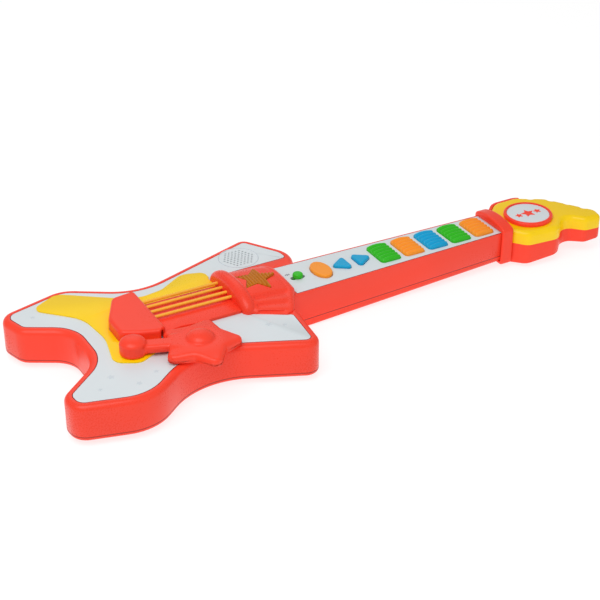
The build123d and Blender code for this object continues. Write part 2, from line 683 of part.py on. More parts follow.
def oval_face(grow=0.0):
    """Outline of the oval button."""
    return Pos(OVAL_X, neck_mid(OVAL_X), 0) * Ellipse(OVAL_ALONG / 2 + grow, OVAL_ACROSS / 2 + grow)


def arrow_face(pointing, grow=0.0):
    """Outline of an arrow button: -1 points to the body, +1 to the head."""
    middle = ARROW_BASE_X + ARROW_SPACE / 2
    long = ARROW_BASE_X - ARROW_TIP_X
    base = middle + pointing * ARROW_SPACE / 2
    tip = base + pointing * long
    corners = [(tip, 0, ARROW_ROUND), (base, ARROW_HALF, ARROW_ROUND),
               (base, -ARROW_HALF, ARROW_ROUND)]
    face = Pos(0, neck_mid(middle), 0) * rounded(corners)
    return grown(face, grow) if grow else face


def make_finger_panel():
    """White plate on the neck with the windows for keys, buttons and slider."""
    plate = slab(neck_plan(COVER_END + 1 + SEAT_GAP, COLLAR_START + 3, NECK_EDGE + SEAT_GAP),
                 FINGER_LOW, FACE)
    for x in KEY_XS:
        plate -= slab(key_face(x, BUTTON_GAP), 0, FACE + 1)
    plate -= slab(oval_face(BUTTON_GAP), 0, FACE + 1)
    for pointing in (-1, 1):
        plate -= slab(arrow_face(pointing, BUTTON_GAP), 0, FACE + 1)
    wide = 2 * (SLIDER_NECK_R + SLOT_GAP)
    slot = Pos(SLIDER_X, SLIDER_Y, 0) * SlotOverall(2 * SLIDER_TRAVEL + wide, wide)
    return plate - slab(slot, 0, FACE + 1)


def button(face, flange, proud, crown):
    """Button with a flange that holds it under the panel."""
    top = FACE + proud
    cap = slab(face, FLANGE_LOW, top)
    cap = fillet(edges_at(cap, top), crown)
    return cap + slab(flange, FLANGE_LOW, FLANGE_TOP)


def make_key(x):
    """Ridged note key."""
    key = button(key_face(x), key_face(x, BUTTON_GAP + FLANGE), KEY_PROUD, KEY_CROWN)
    step = (KEY_LENGTH - 2 * RIDGE_END) / RIDGE_COUNT
    for i in range(RIDGE_COUNT + 1):
        y = neck_mid(x) + (i - RIDGE_COUNT / 2) * step
        groove = Box(KEY_WIDTH - 2 * RIDGE_SIDE, RIDGE_GROOVE, 2 * RIDGE_DEEP)
        key -= Pos(x, y, FACE + KEY_PROUD) * groove
    return key


def make_oval_button():
    """Mode button."""
    return button(oval_face(), oval_face(BUTTON_GAP + FLANGE), BUTTON_PROUD, BUTTON_CROWN)


def make_arrow_button(pointing):
    """Volume or tempo button."""
    flange = arrow_face(pointing, BUTTON_GAP + FLANGE)
    return button(arrow_face(pointing), flange, BUTTON_PROUD, BUTTON_CROWN)


def make_power_slider():
    """Round knob on a neck that runs in the slot."""
    top = FACE + SLIDER_PROUD
    knob = rod(SLIDER_X, SLIDER_Y, SLIDER_R, FACE + 0.3, top)
    knob = fillet(edges_at(knob, top), SLIDER_R / 3)
    neck = rod(SLIDER_X, SLIDER_Y, SLIDER_NECK_R, FLANGE_LOW - 1.4, FACE + 1)
    foot = block(SLIDER_X - 3.4, SLIDER_X + 3.4, SLIDER_Y - 4.5, SLIDER_Y + 4.5, FLANGE_LOW,
                 FLANGE_TOP)
    return knob + neck + foot


def make_slide_switch():
    """Slide switch under the power knob."""
    case = block(SLIDER_X - 9, SLIDER_X + 9, SLIDER_Y - 4, SLIDER_Y + 4, SWITCH_LOW,
                 SWITCH_LOW + SWITCH_TALL)
    wide = SLIDER_NECK_R + SLOT_GAP
    along = wide + SLIDER_TRAVEL
    slot = block(SLIDER_X - along, SLIDER_X + along, SLIDER_Y - wide, SLIDER_Y + wide,
                 FLANGE_LOW - 1.8, FLANGE_LOW)
    return case - slot


def make_key_board():
    """Circuit board along the neck."""
    return block(BOARD_START, BOARD_END, -BOARD_HALF, BOARD_HALF, BOARD_LOW, BOARD_TOP)


def make_switch_board():
    """Small board that carries the slide switch."""
    return block(SLIDER_X - 10, SLIDER_X + 11, -12, 12, SWITCH_LOW - BOARD_THICK, SWITCH_LOW)


def make_key_mat():
    """Rubber mat with one dome under each key and button."""
    mat = block(BOARD_START, BOARD_END, -BOARD_HALF, BOARD_HALF, MAT_LOW, MAT_LOW + MAT_THICK)
    arrow_in = ARROW_BASE_X - 5.0
    arrow_out = ARROW_BASE_X + ARROW_SPACE + 5.0
    for x in [OVAL_X, arrow_in, arrow_out] + KEY_XS:
        dome = Cone(MAT_DOME_R, MAT_DOME_R - 1.2, MAT_TOP - MAT_LOW)
        mat += Pos(x, neck_mid(x), (MAT_LOW + MAT_TOP) / 2) * dome
    return mat


def make_nut_collar():
    """Band around the joint of neck and head."""
    half = COLLAR_HALF
    shoulder = FACE + COLLAR_SHOULDER
    low = COLLAR_LOW
    profile = make_face([
        Line((-half, low), (-half, shoulder)),
        ThreePointArc((-half, shoulder), (0, FACE + COLLAR_CROWN), (half, shoulder)),
        Line((half, shoulder), (half, low)),
        Line((half, low), (-half, low)),
    ])
    profile = fillet(profile.vertices(), COLLAR_CORNER)
    place = Plane(origin=(COLLAR_START, 0, 0), x_dir=(0, 1, 0), z_dir=(1, 0, 0))
    band = extrude(place * profile, COLLAR_END - COLLAR_START)
    ends = edges_in_plane(band, COLLAR_START) + edges_in_plane(band, COLLAR_END)
    band = fillet(ends, COLLAR_ROUND)
    room = slab(neck_plan(COLLAR_START - 1, COLLAR_END + 1, -COLLAR_GAP),
                neck_floor(COLLAR_START) - COLLAR_GAP, FACE + COLLAR_GAP)
    return band - room


# ---------------------------------------------------------------- headstock
def head_face():
    """Outline of the head with its scalloped far edge."""
    face = rounded(HEAD_CORNERS)
    for x, y in SCALLOPS:
        face -= Pos(x, y, 0) * Circle(SCALLOP_R)
    return eased_corners(face, SCALLOP_EASE)


def head_room(lift):
    """Everything above the head's rising underside, lifted by an amount."""
    points = [(HEAD_START - 10, HEAD_LOW_START + lift), (HEAD_START, HEAD_LOW_START + lift),
              (HEAD_TIP, HEAD_LOW_TIP + lift), (HEAD_TIP + 10, HEAD_LOW_TIP + lift),
              (HEAD_TIP + 10, FACE + 10), (HEAD_START - 10, FACE + 10)]
    return extrude(Plane.XZ * make_face(Polyline(*points, close=True)), 60, both=True)


head_outline = head_face()


def tongue(low, high, inset=0.0):
    """Part of the head that sits in the nut collar."""
    half = HEAD_TONGUE_HALF - inset
    return block(TONGUE_START + inset, TONGUE_END, -half, half, low, high)


def make_head_cover():
    """Yellow upper shell of the head."""
    cover = slab(head_outline, HEAD_SEAM, FACE)
    cover = fillet(edges_at(cover, FACE), HEAD_ROUND)
    cover += tongue(HEAD_SEAM, FACE)
    cover -= slab(grown(head_outline, -HEAD_WALL), HEAD_SEAM - 1, FACE - HEAD_WALL)
    cover -= tongue(HEAD_SEAM - 1, FACE - HEAD_WALL, HEAD_WALL)
    for x, y in HEAD_SCREWS:
        cover += rod(x, y, POST_R, HEAD_SEAM + 0.2, FACE - HEAD_WALL + 0.5)
    for x, y in HEAD_SCREWS:
        cover -= rod(x, y, SCREW_R, 0, FACE - 4)
    return cover


def make_head_base():
    """Red lower shell of the head."""
    solid = slab(head_outline, 0, HEAD_SEAM) & head_room(0)
    solid = fillet(solid.faces().sort_by(Axis.Z)[0].edges(), HEAD_FOOT)
    base = solid + tongue(TONGUE_LOW, HEAD_SEAM)
    room = slab(grown(head_outline, -HEAD_WALL), 0, HEAD_SEAM + 1) & head_room(HEAD_WALL)
    base -= room
    base -= tongue(TONGUE_LOW + HEAD_WALL, HEAD_SEAM + 1, HEAD_WALL)
    for x, y in HEAD_SCREWS:
        base += rod(x, y, BOSS_R, 0, HEAD_SEAM) & solid
    for x, y in HEAD_SCREWS:
        base -= rod(x, y, SCREW_HEAD_R + 0.4, 0, HEAD_SEAT)
        base -= rod(x, y, SCREW_R + 0.2, 0, HEAD_SEAM + 1)
    lip = slab(grown(head_outline, LIP_THICK), HEAD_SEAM - 4, FACE - LIP_DOWN)
    lip -= slab(grown(head_outline, SEAT_GAP), HEAD_SEAM, FACE)
    lip -= slab(grown(head_outline, -HEAD_WALL / 2), 0, FACE)
    return base + (lip & block(LIP_START, LIP_END, BADGE_Y, FACE * 2, 0, FACE))


def make_badge_ring():
    """Raised ring on the head."""
    ring = rod(BADGE_X, BADGE_Y, BADGE_R, FACE, FACE + BADGE_TALL)
    ring = fillet(edges_at(ring, FACE + BADGE_TALL), 1.6)
    return ring - rod(BADGE_X, BADGE_Y, BADGE_DISC_R + 0.1, 0, FACE + BADGE_TALL + 1)


def make_badge_disc():
    """Plain disc in the ring."""
    disc = rod(BADGE_X, BADGE_Y, BADGE_DISC_R, FACE, FACE + BADGE_TALL - BADGE_STEP)
    return fillet(edges_at(disc, FACE + BADGE_TALL - BADGE_STEP), 0.6)


# ---------------------------------------------------------------- electrics
def make_speaker_basket():
    """Stamped basket of the loudspeaker."""
    cup_top = SPEAKER_TOP - SPEAKER_RIM
    basket = rod(SPEAKER_X, SPEAKER_Y, SPEAKER_R, cup_top, SPEAKER_TOP)
    basket += Pos(SPEAKER_X, SPEAKER_Y, cup_top - SPEAKER_DEEP / 2) * Cone(
        MAGNET_R + 1, SPEAKER_R - 1.5, SPEAKER_DEEP)
    return basket - Pos(SPEAKER_X, SPEAKER_Y, cup_top + 1 - SPEAKER_DEEP / 2) * Cone(
        MAGNET_R - 0.4, SPEAKER_R - 2.2, SPEAKER_DEEP + 1)


def make_speaker_cone():
    """Paper cone and dust cap."""
    deep = SPEAKER_DEEP - 2
    wide = SPEAKER_R - 3
    paper = Pos(SPEAKER_X, SPEAKER_Y, SPEAKER_TOP - 0.5 - deep / 2) * Cone(deep, wide, deep)
    return paper - Pos(SPEAKER_X, SPEAKER_Y, SPEAKER_TOP + 0.1 - deep / 2) * Cone(deep, wide, deep)


def make_speaker_magnet():
    """Magnet behind the basket."""
    return rod(SPEAKER_X, SPEAKER_Y, MAGNET_R, BASKET_LOW - MAGNET_TALL, BASKET_LOW)


def make_speaker_ring():
    """Plastic ring that clamps the speaker to the deck."""
    top = SPEAKER_TOP - SPEAKER_RIM
    ring = rod(SPEAKER_X, SPEAKER_Y, SPEAKER_R + 1.5, top - 1.6, top)
    return ring - rod(SPEAKER_X, SPEAKER_Y, SPEAKER_R - 1.2, 0, top + 1)


def make_main_board():
    """Main circuit board in the body."""
    return block(MAIN_START, MAIN_END, -MAIN_HALF, MAIN_HALF, MAIN_LOW, MAIN_LOW + BOARD_THICK)


def make_sound_chip():
    """Chip under its drop of resin."""
    low = MAIN_LOW + BOARD_THICK
    drop = Pos(CHIP_X, 0, low) * scale(Sphere(CHIP_R), by=(1, 1, CHIP_TALL / CHIP_R))
    return drop & rod(CHIP_X, 0, CHIP_R + 2, low, low + CHIP_R)


def make_star_lamp():
    """Lamp under the star lens."""
    stem = rod(LENS_X, LENS_Y, 2.5, DECK_LOW - 2, FACE + 2)
    return stem + Pos(LENS_X, LENS_Y, FACE + 2) * Sphere(2.5)


def make_lamp_board():
    """Small board that carries the lamp, under the deck."""
    return block(LENS_X - 9, LENS_X + 9, LENS_Y - 9, LENS_Y + 9, DECK_LOW - 3.6, DECK_LOW - 2)


def make_cells():
    """Three cells side by side."""
    cells = []
    for i in range(CELL_COUNT):
        y = BOX_Y + (i - (CELL_COUNT - 1) / 2) * CELL_PITCH
        can = Rot(0, 90, 0) * Cylinder(CELL_R, CELL_LONG - 1.2)
        cap = Pos(CELL_LONG / 2 - 0.6, 0, 0) * (Rot(0, 90, 0) * Cylinder(2.7, 1.2))
        cell = Pos(-0.6, 0, 0) * can + cap
        turn = Rot(0, 0, 180 * (i % 2))
        cells.append(Pos(BOX_X, y, CELL_AXIS) * (turn * cell))
    return Compound(cells)


def make_contacts():
    """Spring strips at both ends of the cells."""
    strips = []
    for i in range(CELL_COUNT):
        y = BOX_Y + (i - (CELL_COUNT - 1) / 2) * CELL_PITCH
        for side in (-1, 1):
            x = BOX_X + side * (BOX_LONG / 2 - 0.4)
            bow = BOX_X + side * (CELL_LONG / 2 + 0.5)
            plate = Pos(x, y, CELL_AXIS) * Box(0.6, 10.0, 11.0)
            strip = block(min(x, bow), max(x, bow), y - 1.5, y + 1.5, CELL_AXIS - 1, CELL_AXIS + 1)
            strips.append(plate + strip)
    return Compound(strips)


def make_battery_door():
    """Door over the cells, with its lug for the screw."""
    door = box_block(DOOR_LEDGE - 0.3, 0, DOOR_THICK)
    door += door_tab(0, 0, DOOR_THICK)
    door -= rod(DOOR_SCREW_X, BOX_Y, SCREW_R + 0.2, -1, DOOR_THICK + 1)
    return door - rod(DOOR_SCREW_X, BOX_Y, SCREW_HEAD_R + 0.2, -1, 1.0)


def make_door_screw():
    """Captive screw of the door."""
    head = rod(DOOR_SCREW_X, BOX_Y, SCREW_HEAD_R, 0.1, 1.0)
    return head + rod(DOOR_SCREW_X, BOX_Y, SCREW_R, 1.0, PARTING)


def make_screws(places, low, length):
    """Identical screws standing in their seats, as one group."""
    group = []
    for x, y in places:
        head = rod(x, y, SCREW_HEAD_R, low - SCREW_HEAD, low)
        group.append(head + rod(x, y, SCREW_R, low, low + length))
    return Compound(group)


# ---------------------------------------------------------------- write the nodes
save(make_front_shell(), "front_shell")
save(make_back_shell(), "back_shell")
save(make_face_panel(), "face_panel")
save(make_pickguard(), "pickguard")
save(make_bridge(), "bridge_block")
save(make_string_base(), "string_base")
for i, y in enumerate(STRING_YS):
    save(make_string(y), f"string_{i + 1}")
save(make_joint_cover(), "joint_cover")
save(make_star_lens(), "star_lens")
save(make_whammy_bar(), "whammy_bar")
save(make_whammy_cam(), "whammy_cam")
save(make_whammy_screw(), "whammy_screw")
save(make_whammy_spring(), "whammy_spring")
save(make_bar_board(), "bar_board")
save(make_bar_switches(), "bar_switches")
save(make_finger_panel(), "finger_panel")
for i, x in enumerate(KEY_XS):
    save(make_key(x), f"key_{i + 1}")
save(make_oval_button(), "oval_button")
save(make_arrow_button(-1), "arrow_button_1")
save(make_arrow_button(1), "arrow_button_2")
save(make_power_slider(), "power_slider")
save(make_slide_switch(), "slide_switch")
save(make_switch_board(), "switch_board")
save(make_key_board(), "key_board")
save(make_key_mat(), "key_mat")
save(make_nut_collar(), "nut_collar")
save(make_head_cover(), "head_cover")
save(make_head_base(), "head_base")
save(make_badge_ring(), "badge_ring")
save(make_badge_disc(), "badge_disc")
save(make_speaker_basket(), "speaker_basket")
save(make_speaker_cone(), "speaker_cone")
save(make_speaker_magnet(), "speaker_magnet")
save(make_speaker_ring(), "speaker_ring")
save(make_main_board(), "main_board")
save(make_sound_chip(), "sound_chip")
save(make_star_lamp(), "star_lamp")
save(make_lamp_board(), "lamp_board")
save(make_cells(), "cells")
save(make_contacts(), "cell_contacts")
save(make_battery_door(), "battery_door")
save(make_door_screw(), "door_screw")
save(make_screws(CASE_SCREWS, SCREW_SEAT, SCREW_LONG), "case_screws")
save(make_screws(HEAD_SCREWS, HEAD_SEAT, SCREW_LONG), "head_screws")
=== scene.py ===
"""Toy electric guitar on its back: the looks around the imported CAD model.

Run as a script it builds every piece in order. Metres, in the CAD model's frame: +X along the
neck, +Z out of the face.
"""

import json
import math

import bmesh
import bpy
from bpy.props import FloatProperty, FloatVectorProperty, IntProperty, PointerProperty
from bpy.types import Operator, Panel, PropertyGroup
from mathutils import Matrix, Vector


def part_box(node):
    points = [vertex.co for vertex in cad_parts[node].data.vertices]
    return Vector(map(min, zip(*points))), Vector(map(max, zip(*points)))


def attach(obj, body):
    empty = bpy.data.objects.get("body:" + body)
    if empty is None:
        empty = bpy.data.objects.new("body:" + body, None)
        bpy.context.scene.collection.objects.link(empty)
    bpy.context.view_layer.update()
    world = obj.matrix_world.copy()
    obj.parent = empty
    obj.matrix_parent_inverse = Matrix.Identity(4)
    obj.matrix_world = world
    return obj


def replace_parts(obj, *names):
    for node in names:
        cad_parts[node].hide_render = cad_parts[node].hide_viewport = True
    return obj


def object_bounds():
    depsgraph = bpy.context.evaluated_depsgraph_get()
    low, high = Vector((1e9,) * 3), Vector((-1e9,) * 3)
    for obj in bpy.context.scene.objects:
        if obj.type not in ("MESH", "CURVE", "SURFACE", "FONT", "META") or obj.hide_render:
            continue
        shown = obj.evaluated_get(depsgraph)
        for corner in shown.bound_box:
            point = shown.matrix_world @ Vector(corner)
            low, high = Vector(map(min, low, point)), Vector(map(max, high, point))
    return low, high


bl_info = {
    "name": "Toy guitar",
    "version": (1, 0, 0),
    "blender": (4, 5, 0),
    "location": "View3D > Sidebar > Guitar",
    "description": "Builds the mouldings, finishes and stage of a toy electric guitar",
    "category": "Object",
}

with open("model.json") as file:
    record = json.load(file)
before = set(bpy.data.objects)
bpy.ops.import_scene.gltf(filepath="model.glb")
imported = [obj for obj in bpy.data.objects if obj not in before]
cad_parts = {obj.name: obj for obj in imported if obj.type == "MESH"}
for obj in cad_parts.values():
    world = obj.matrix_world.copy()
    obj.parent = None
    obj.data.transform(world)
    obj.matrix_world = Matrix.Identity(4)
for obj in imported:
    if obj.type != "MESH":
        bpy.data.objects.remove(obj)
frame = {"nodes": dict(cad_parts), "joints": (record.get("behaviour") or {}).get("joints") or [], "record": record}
cad_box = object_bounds()

MM = 0.001
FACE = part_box("face_panel")[1].z
SHARP = math.radians(35)          # edges over this angle are eased

# The shells' seam: level in the body, rising along the neck
SEAM_START = 0.0
SEAM_END = 0.193
SEAM_LOW = 0.007
SEAM_HIGH = 0.011


def colour(name, default):
    """A colour property with its default in linear RGB."""
    return FloatVectorProperty(name=name, description=f"Base colour of the {name.lower()}",
                               subtype="COLOR", size=3, min=0, max=1, default=default)


def length(name, default, description):
    """A length property in metres."""
    return FloatProperty(name=name, description=description, default=default, unit="LENGTH")


class GuitarPaint(PropertyGroup):
    """Colours of the plastics."""
    red: colour("Red plastic", (1.0, 0.058, 0.026))
    white: colour("White plastic", (0.72, 0.775, 0.80))
    yellow: colour("Yellow plastic", (1.0, 0.66, 0.0))
    orange: colour("Orange plastic", (1.0, 0.33, 0.02))
    green: colour("Green plastic", (0.03, 0.52, 0.010))
    blue: colour("Blue plastic", (0.0, 0.38, 0.68))
    string: colour("String plastic", (1.0, 0.52, 0.05))
    lens: colour("Star lens", (0.56, 0.18, 0.008))
    # Dark red of the line where the shells meet, also used as painted shade in the gaps around the white panels
    seam: colour("Seam shade", (0.25, 0.022, 0.02))
    relief: colour("Relief", (0.63, 0.69, 0.73))


class GuitarMould(PropertyGroup):
    """Sizes of the edges and the soft mouldings."""
    shell_edge: length("Shell edge", 0.0004, "Rounding of the shells' seam edges")
    plate_edge: length("Plate edge", 0.0003, "Rounding of the flat plates' edges")
    # Width of the painted gap shade: the white panels' dark slope stands in for the shade of the gap to the rim
    gap_shade_width: length("Seam line", 0.00045, "Width of the dark slope around the white panels")
    soft_voxel: length("Soft detail", 0.0005, "Smallest detail of the softly moulded pieces")
    fine_voxel: length("Fine detail", 0.0003, "Smallest detail of the small buttons")
    puffy: IntProperty(name="Puffiness", description="Smoothing rounds of the whammy bar",
                       default=14, min=1, max=60)
    soft: IntProperty(name="Softness", description="Smoothing rounds of the other mouldings",
                      default=9, min=1, max=60)


class GuitarCover(PropertyGroup):
    """Sizes of the neck cover."""
    ring_proud: length("Ring height", 0.0034, "How far the ring stands over the dome")
    ring_round: length("Ring rounding", 0.0054, "Rounding of the ring's edges")
    end_round: length("End rounding", 0.0125, "Length of the rounded end towards the neck")
    taper: length("Taper", 0.0022, "How much lower the dome is towards the neck")
    flare: length("Flare", 0.0155, "How far the near side flares out")
    end_slant: length("End slant", 0.0180, "How far the near corner lies behind the end")
    flute_depth: length("Flute depth", 0.0020, "Depth of the long flutes")
    flutes: IntProperty(name="Flutes", description="Number of flutes on the near side", default=3,
                        min=0, max=6)
    rib_pitch: length("Rib pitch", 0.0024, "Distance between the ribs of the star lens")
    rib_height: length("Rib height", 0.0011, "Height of the ribs of the star lens")


class GuitarKeys(PropertyGroup):
    """Shape of the note keys."""
    arch: length("Arch", 0.0012, "How much a key's top falls towards its sides")
    ridge: length("Ridge", 0.0017, "Depth of the grooves between the ridges")
    ridges: IntProperty(name="Ridges", description="Number of ridges on a key", default=6,
                        min=2, max=12)
    edge: length("Key edge", 0.0013, "Rounding of a key's top edge")
    corner: FloatProperty(name="Corners", description="How round a key's corners are in plan",
                          default=0.24, min=0, max=1)


class GuitarStage(PropertyGroup):
    """Floor, light and camera."""
    floor: colour("Floor", (0.32, 0.32, 0.32))
    key: FloatProperty(name="Key light", description="Power of the key light", default=8.0,
                       unit="POWER")
    fill: FloatProperty(name="Fill light", description="Power of the fill light", default=1.2,
                        unit="POWER")
    sky: FloatProperty(name="Sky", description="Strength of the surrounding light", default=0.46)
    glow: FloatProperty(name="Glow", description="Glow of the floor paper", default=2.4)
    lens: FloatProperty(name="Lens", description="Focal length in millimetres", default=88.1)


# ---------------------------------------------------------------- mesh helpers
def pick(*objects):
    """Selects only these objects and makes the first one active."""
    if bpy.context.object and bpy.context.object.mode != "OBJECT":
        bpy.ops.object.mode_set(mode="OBJECT")
    bpy.ops.object.select_all(action="DESELECT")
    for obj in objects:
        obj.select_set(True)
    bpy.context.view_layer.objects.active = objects[0]


def fresh(name):
    """The primitive that was just added, named and with its place in its mesh."""
    obj = bpy.context.object
    obj.name = name
    obj.data.name = name
    bpy.ops.object.transform_apply(location=True, rotation=True, scale=True)
    return obj


def edit(obj):
    """Enters edit mode with nothing selected."""
    pick(obj)
    bpy.ops.object.mode_set(mode="EDIT")
    bpy.ops.mesh.select_all(action="DESELECT")
    return bmesh.from_edit_mesh(obj.data)


def leave(obj):
    """Back to object mode."""
    bmesh.update_edit_mesh(obj.data)
    bpy.ops.object.mode_set(mode="OBJECT")


def choose(mesh, kind, test):
    """Selects the vertices, edges or faces that pass a test, in edit mode."""
    for vert in mesh.verts:
        vert.select = False
    for part in getattr(mesh, kind):
        if test(part):
            part.select = True
    mesh.select_flush(kind != "verts")


def modified(obj, kind, **settings):
    """Adds a modifier, sets it and applies it."""
    pick(obj)
    modifier = obj.modifiers.new(kind.lower(), kind)
    for key, value in settings.items():
        setattr(modifier, key, value)
    bpy.ops.object.modifier_apply(modifier=modifier.name)
    return obj


def tidy(obj):
    """Merges doubles and turns all faces outwards."""
    edit(obj)
    bpy.ops.mesh.select_all(action="SELECT")
    bpy.ops.mesh.remove_doubles(threshold=1e-6)
    bpy.ops.mesh.normals_make_consistent(inside=False)
    leave(obj)
    return obj


def shade(obj, angle=30.0):
    """Smooth shading with crisp edges above the angle."""
    pick(obj)
    bpy.ops.object.shade_smooth_by_angle(angle=math.radians(angle))
    return obj


def combined(base, other, operation):
    """Boolean of the base with another object, which is used up."""
    modified(base, "BOOLEAN", operation=operation, object=other, solver="EXACT")
    bpy.data.objects.remove(other)
    return base


def soft(obj, voxel, rounds):
    """One closed skin over the joined solids, eased like a soft moulding."""
    modified(obj, "REMESH", mode="VOXEL", voxel_size=voxel, use_smooth_shade=True)
    modified(obj, "SMOOTH", factor=0.5, iterations=rounds)
    pick(obj)
    bpy.ops.object.shade_smooth()
    return obj


def cad_copy(node, name):
    """A merged copy of a CAD node, with its flat faces whole again."""
    obj = bpy.data.objects.new(name, frame["nodes"][node].data.copy())
    bpy.context.scene.collection.objects.link(obj)
    obj.data.materials.clear()
    edit(obj)
    bpy.ops.mesh.select_all(action="SELECT")
    bpy.ops.mesh.remove_doubles(threshold=2e-6)
    bpy.ops.mesh.dissolve_limited(angle_limit=math.radians(0.3))
    leave(obj)
    return obj


def eased(obj, width):
    """Rounds every sharp edge."""
    modified(obj, "BEVEL", width=width, segments=2, limit_method="ANGLE", angle_limit=SHARP,
             use_clamp_overlap=True, harden_normals=False)
    return shade(obj)


def cloned(obj, name, shift):
    """A copy with a mesh of its own, moved within its mesh."""
    other = bpy.data.objects.new(name, obj.data.copy())
    bpy.context.scene.collection.objects.link(other)
    other.data.transform(Matrix.Translation(shift))
    return other


def joined(name, *objects):
    """One object of several."""
    pick(*objects)
    bpy.ops.object.join()
    bpy.context.object.name = name
    return bpy.context.object


def gap_shaded(obj, width, keep):
    """Paints shade into a thin dark slope along those sharp edges that pass a test: the painted shade of the gap
    beside a finished piece.
    """
    # The slope takes the seam colour as painted shade
    obj.data.materials.append(paint("seam"))
    mesh = edit(obj)
    choose(mesh, "edges", lambda e: (e.is_manifold and e.calc_face_angle() > SHARP
                                     and keep((e.verts[0].co + e.verts[1].co) / 2)))
    bpy.ops.mesh.bevel(offset=width, segments=1, affect="EDGES", material=1)
    leave(obj)
    return shade(obj)


def body_of_node(node):
    """The CAD body that a node rides on."""
    for body, nodes in frame["record"]["behaviour"]["bodies"].items():
        if node in nodes:
            return body
    raise ValueError(node)


def placed_free(obj, body, material):
    """A finished piece that stands for no CAD node rides on a body and takes its material."""
    obj.data.materials.clear()
    obj.data.materials.append(material)
    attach(obj, body)
    return obj


def placed(obj, node, material):
    """The finished piece rides on its node's body, stands for it and takes its material."""
    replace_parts(placed_free(obj, body_of_node(node), material), node)
    return obj


def grid(name, columns, rows, place):
    """A grid whose points are put at place(u, v), with u and v running from 0 to 1."""
    bpy.ops.object.select_all(action="DESELECT")
    bpy.ops.mesh.primitive_grid_add(x_subdivisions=columns, y_subdivisions=rows, size=1,
                                    location=(0, 0, 0))
    obj = fresh(name)
    for vert in obj.data.vertices:
        vert.co = place(vert.co.x + 0.5, vert.co.y + 0.5)
    return obj


def walled(obj, low):
    """Closes an open shell with an upright wall down to a height and a floor there."""
    mesh = edit(obj)
    choose(mesh, "edges", lambda e: e.is_boundary)
    bpy.ops.mesh.extrude_region_move()
    for vert in mesh.verts:
        if vert.select:
            vert.co.z = low
    bpy.ops.mesh.edge_face_add()
    leave(obj)
    return tidy(obj)


def star_prism(name, centre, tip, valley, turn, low, high, tip_round=0.0012):
    """An upright five-pointed star with rounded points."""
    bpy.ops.object.select_all(action="DESELECT")
    bpy.ops.mesh.primitive_circle_add(vertices=10, radius=tip, fill_type="NGON",
                                      location=(centre.x, centre.y, low))
    obj = fresh(name)
    for i, vert in enumerate(obj.data.vertices):
        radius = tip if i % 2 == 0 else valley
        angle = math.radians(turn + 36 * i)
        vert.co = (centre.x + radius * math.cos(angle), centre.y + radius * math.sin(angle), low)
    edit(obj)
    bpy.ops.mesh.select_all(action="SELECT")
    if tip_round > 0:
        bpy.ops.mesh.bevel(offset=tip_round, affect="VERTICES", segments=5)
        bpy.ops.mesh.select_all(action="SELECT")
    bpy.ops.mesh.extrude_region_move(TRANSFORM_OT_translate={"value": (0, 0, high - low)})
    leave(obj)
    return tidy(obj)


def smoothstep(value, low, high):
    """0 below low, 1 above high and a smooth rise between them."""
    share = min(max((value - low) / (high - low), 0.0), 1.0)
    return share * share * (3 - 2 * share)


# ---------------------------------------------------------------- finishes
def node_group(name, inputs, outputs):
    """An empty shader group with its sockets."""
    tree = bpy.data.node_groups.new(name, "ShaderNodeTree")
    for label, kind, default in inputs:
        socket = tree.interface.new_socket(name=label, in_out="INPUT", socket_type=kind)
        socket.default_value = default
    for label, kind in outputs:
        tree.interface.new_socket(name=label, in_out="OUTPUT", socket_type=kind)
    return tree, tree.nodes.new("NodeGroupInput"), tree.nodes.new("NodeGroupOutput")


def noise(tree, vector, scale, detail=2.0, roughness=0.5):
    """A noise texture on a vector."""
    node = tree.nodes.new("ShaderNodeTexNoise")
    node.inputs["Scale"].default_value = scale
    node.inputs["Detail"].default_value = detail
    node.inputs["Roughness"].default_value = roughness
    tree.links.new(vector, node.inputs["Vector"])
    return node.outputs["Fac"]


def remap(tree, value, low, high, to_low, to_high):
    """A clamped map range."""
    node = tree.nodes.new("ShaderNodeMapRange")
    node.inputs["From Min"].default_value = low
    node.inputs["From Max"].default_value = high
    for socket, target in (("To Min", to_low), ("To Max", to_high)):
        if isinstance(target, (int, float)):
            node.inputs[socket].default_value = target
        else:
            tree.links.new(target, node.inputs[socket])
    tree.links.new(value, node.inputs["Value"])
    return node.outputs["Result"]


def maths(tree, operation, first, second):
    """A math node; either side may be a socket or a number."""
    node = tree.nodes.new("ShaderNodeMath")
    node.operation = operation
    for socket, value in zip(node.inputs, (first, second)):
        if isinstance(value, (int, float)):
            socket.default_value = value
        else:
            tree.links.new(value, socket)
    return node.outputs["Value"]


def stretched(tree, scale):
    """Object coordinates stretched along the axes."""
    coords = tree.nodes.new("ShaderNodeTexCoord")
    mapping = tree.nodes.new("ShaderNodeMapping")
    mapping.inputs["Scale"].default_value = scale
    tree.links.new(coords.outputs["Object"], mapping.inputs["Vector"])
    return mapping.outputs["Vector"]


